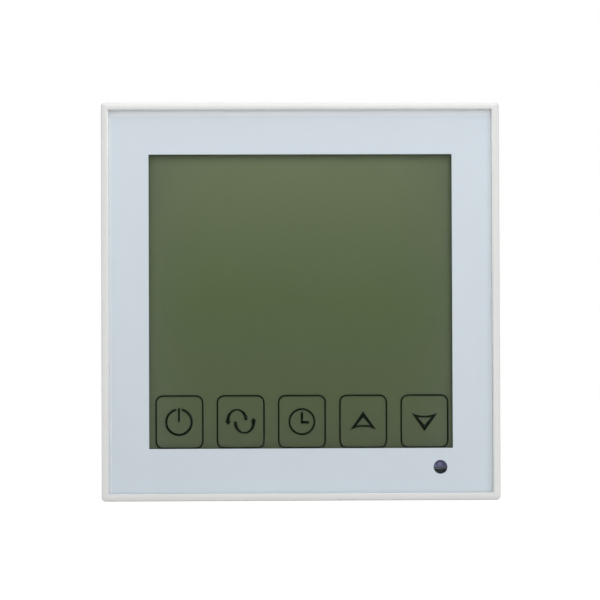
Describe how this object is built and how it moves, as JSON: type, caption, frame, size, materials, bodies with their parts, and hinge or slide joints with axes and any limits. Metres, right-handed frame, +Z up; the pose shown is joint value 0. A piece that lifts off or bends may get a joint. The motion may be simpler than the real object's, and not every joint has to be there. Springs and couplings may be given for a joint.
{
  "type": "wall thermostat",
  "caption": "Square glass-fronted wall thermostat with a display window, a row of touch keys and a boxed rear with screw terminals for a standard wall box.",
  "frame": {"origin": "on the wall's surface, midway between the two wall screw slots", "axes": "+X to the right seen from the front, +Z up, the glass faces -Y and the box goes into the wall along +Y"},
  "size_m": [0.086, 0.041, 0.086],
  "materials": {
    "frame_plastic": "white, polished",
    "cover_glass": "clear, polished",
    "mask_print": "white ink behind glass",
    "bonding_tape": "matt",
    "clear_film": "clear",
    "polarizer": "grey-green",
    "lcd_glass": "clear",
    "acrylic": "clear, diffusing",
    "lamp_package": "satin",
    "tray_plastic": "fine grain",
    "silicone": "matt",
    "circuit_board": "solder mask, satin",
    "screw_steel": "zinc plated",
    "chip_epoxy": "matt",
    "can_steel": "satin",
    "passive_ceramic": "satin",
    "spring_steel": "bright",
    "sounder_plastic": "matt",
    "ir_epoxy": "dark, glossy",
    "foam": "matt",
    "sensor_epoxy": "glossy",
    "connector_plastic": "matt",
    "housing_plastic": "fine grain",
    "relay_plastic": "satin",
    "ferrite": "matt",
    "winding_tape": "satin",
    "capacitor_sleeve": "satin",
    "film_box": "satin",
    "varistor_coat": "satin",
    "fuse_plastic": "satin",
    "pin_brass": "tin or gold plated",
    "terminal_plastic": "fine grain",
    "plated_steel": "zinc plated"
  },
  "bodies": {
    "power_base": {"rear_housing": "housing_plastic", "retaining_springs": "spring_steel", "box_cover": "housing_plastic", "cover_screws": "screw_steel", "power_board": "circuit_board", "power_board_screws": "screw_steel", "relay_1": "relay_plastic", "relay_2": "relay_plastic", "relay_3": "relay_plastic", "relay_4": "relay_plastic", "transformer_core": "ferrite", "transformer_winding": "winding_tape", "bulk_capacitor": "capacitor_sleeve", "output_capacitor": "capacitor_sleeve", "film_capacitor": "film_box", "varistor": "varistor_coat", "fuse": "fuse_plastic", "pin_header": "connector_plastic", "header_pins": "pin_brass", "terminal_housing": "terminal_plastic", "terminal_contacts": "pin_brass"},
    "front_unit": {"front_frame": "frame_plastic", "touch_glass": "cover_glass", "mask_film": "mask_print", "glass_adhesive": "bonding_tape", "touch_film": "clear_film", "lcd_front_polarizer": "polarizer", "lcd_front_glass": "lcd_glass", "lcd_rear_glass": "lcd_glass", "lcd_rear_polarizer": "polarizer", "light_guide": "acrylic", "backlight_leds": "lamp_package", "lcd_holder": "tray_plastic", "zebra_strip": "silicone", "control_board": "circuit_board", "board_screws": "screw_steel", "microcontroller": "chip_epoxy", "display_driver": "chip_epoxy", "crystal": "can_steel", "board_passives": "passive_ceramic", "backup_cell": "can_steel", "cell_clip": "spring_steel", "buzzer": "sounder_plastic", "ir_receiver": "ir_epoxy", "ir_light_shield": "foam", "temperature_sensor": "sensor_epoxy", "board_socket": "connector_plastic"},
    "terminal_screw_1": {"terminal_screw_1": "plated_steel"},
    "terminal_cage_1": {"terminal_cage_1": "plated_steel"},
    "terminal_screw_2": {"terminal_screw_2": "plated_steel"},
    "terminal_cage_2": {"terminal_cage_2": "plated_steel"},
    "terminal_screw_3": {"terminal_screw_3": "plated_steel"},
    "terminal_cage_3": {"terminal_cage_3": "plated_steel"},
    "terminal_screw_4": {"terminal_screw_4": "plated_steel"},
    "terminal_cage_4": {"terminal_cage_4": "plated_steel"},
    "terminal_screw_5": {"terminal_screw_5": "plated_steel"},
    "terminal_cage_5": {"terminal_cage_5": "plated_steel"},
    "terminal_screw_6": {"terminal_screw_6": "plated_steel"},
    "terminal_cage_6": {"terminal_cage_6": "plated_steel"}
  },
  "joints": [
    {"name": "front_unit_pull_off", "type": "slide", "parent": "power_base", "child": "front_unit", "axis": [0, -1, 0], "range_m": [0, 0.03], "deforming": ["retaining_springs"]},
    {"name": "terminal_screw_1_turn", "type": "hinge", "parent": "power_base", "child": "terminal_screw_1", "pos_m": [-0.0127, 0.015, -0.022], "axis": [0, -1, 0], "range_deg": [0, 1440]},
    {"name": "terminal_cage_1_rise", "type": "slide", "parent": "power_base", "child": "terminal_cage_1", "axis": [0, 1, 0], "range_m": [0, 0.002]},
    {"name": "terminal_screw_2_turn", "type": "hinge", "parent": "power_base", "child": "terminal_screw_2", "pos_m": [-0.00762, 0.015, -0.022], "axis": [0, -1, 0], "range_deg": [0, 1440]},
    {"name": "terminal_cage_2_rise", "type": "slide", "parent": "power_base", "child": "terminal_cage_2", "axis": [0, 1, 0], "range_m": [0, 0.002]},
    {"name": "terminal_screw_3_turn", "type": "hinge", "parent": "power_base", "child": "terminal_screw_3", "pos_m": [-0.00254, 0.015, -0.022], "axis": [0, -1, 0], "range_deg": [0, 1440]},
    {"name": "terminal_cage_3_rise", "type": "slide", "parent": "power_base", "child": "terminal_cage_3", "axis": [0, 1, 0], "range_m": [0, 0.002]},
    {"name": "terminal_screw_4_turn", "type": "hinge", "parent": "power_base", "child": "terminal_screw_4", "pos_m": [0.00254, 0.015, -0.022], "axis": [0, -1, 0], "range_deg": [0, 1440]},
    {"name": "terminal_cage_4_rise", "type": "slide", "parent": "power_base", "child": "terminal_cage_4", "axis": [0, 1, 0], "range_m": [0, 0.002]},
    {"name": "terminal_screw_5_turn", "type": "hinge", "parent": "power_base", "child": "terminal_screw_5", "pos_m": [0.00762, 0.015, -0.022], "axis": [0, -1, 0], "range_deg": [0, 1440]},
    {"name": "terminal_cage_5_rise", "type": "slide", "parent": "power_base", "child": "terminal_cage_5", "axis": [0, 1, 0], "range_m": [0, 0.002]},
    {"name": "terminal_screw_6_turn", "type": "hinge", "parent": "power_base", "child": "terminal_screw_6", "pos_m": [0.0127, 0.015, -0.022], "axis": [0, -1, 0], "range_deg": [0, 1440]},
    {"name": "terminal_cage_6_rise", "type": "slide", "parent": "power_base", "child": "terminal_cage_6", "axis": [0, 1, 0], "range_m": [0, 0.002]}
  ],
  "couplings": [
    {"joint": "terminal_screw_1_turn", "follows": "terminal_cage_1_rise", "rad_per_m": 12566},
    {"joint": "terminal_screw_2_turn", "follows": "terminal_cage_2_rise", "rad_per_m": 12566},
    {"joint": "terminal_screw_3_turn", "follows": "terminal_cage_3_rise", "rad_per_m": 12566},
    {"joint": "terminal_screw_4_turn", "follows": "terminal_cage_4_rise", "rad_per_m": 12566},
    {"joint": "terminal_screw_5_turn", "follows": "terminal_cage_5_rise", "rad_per_m": 12566},
    {"joint": "terminal_screw_6_turn", "follows": "terminal_cage_6_rise", "rad_per_m": 12566}
  ]
}
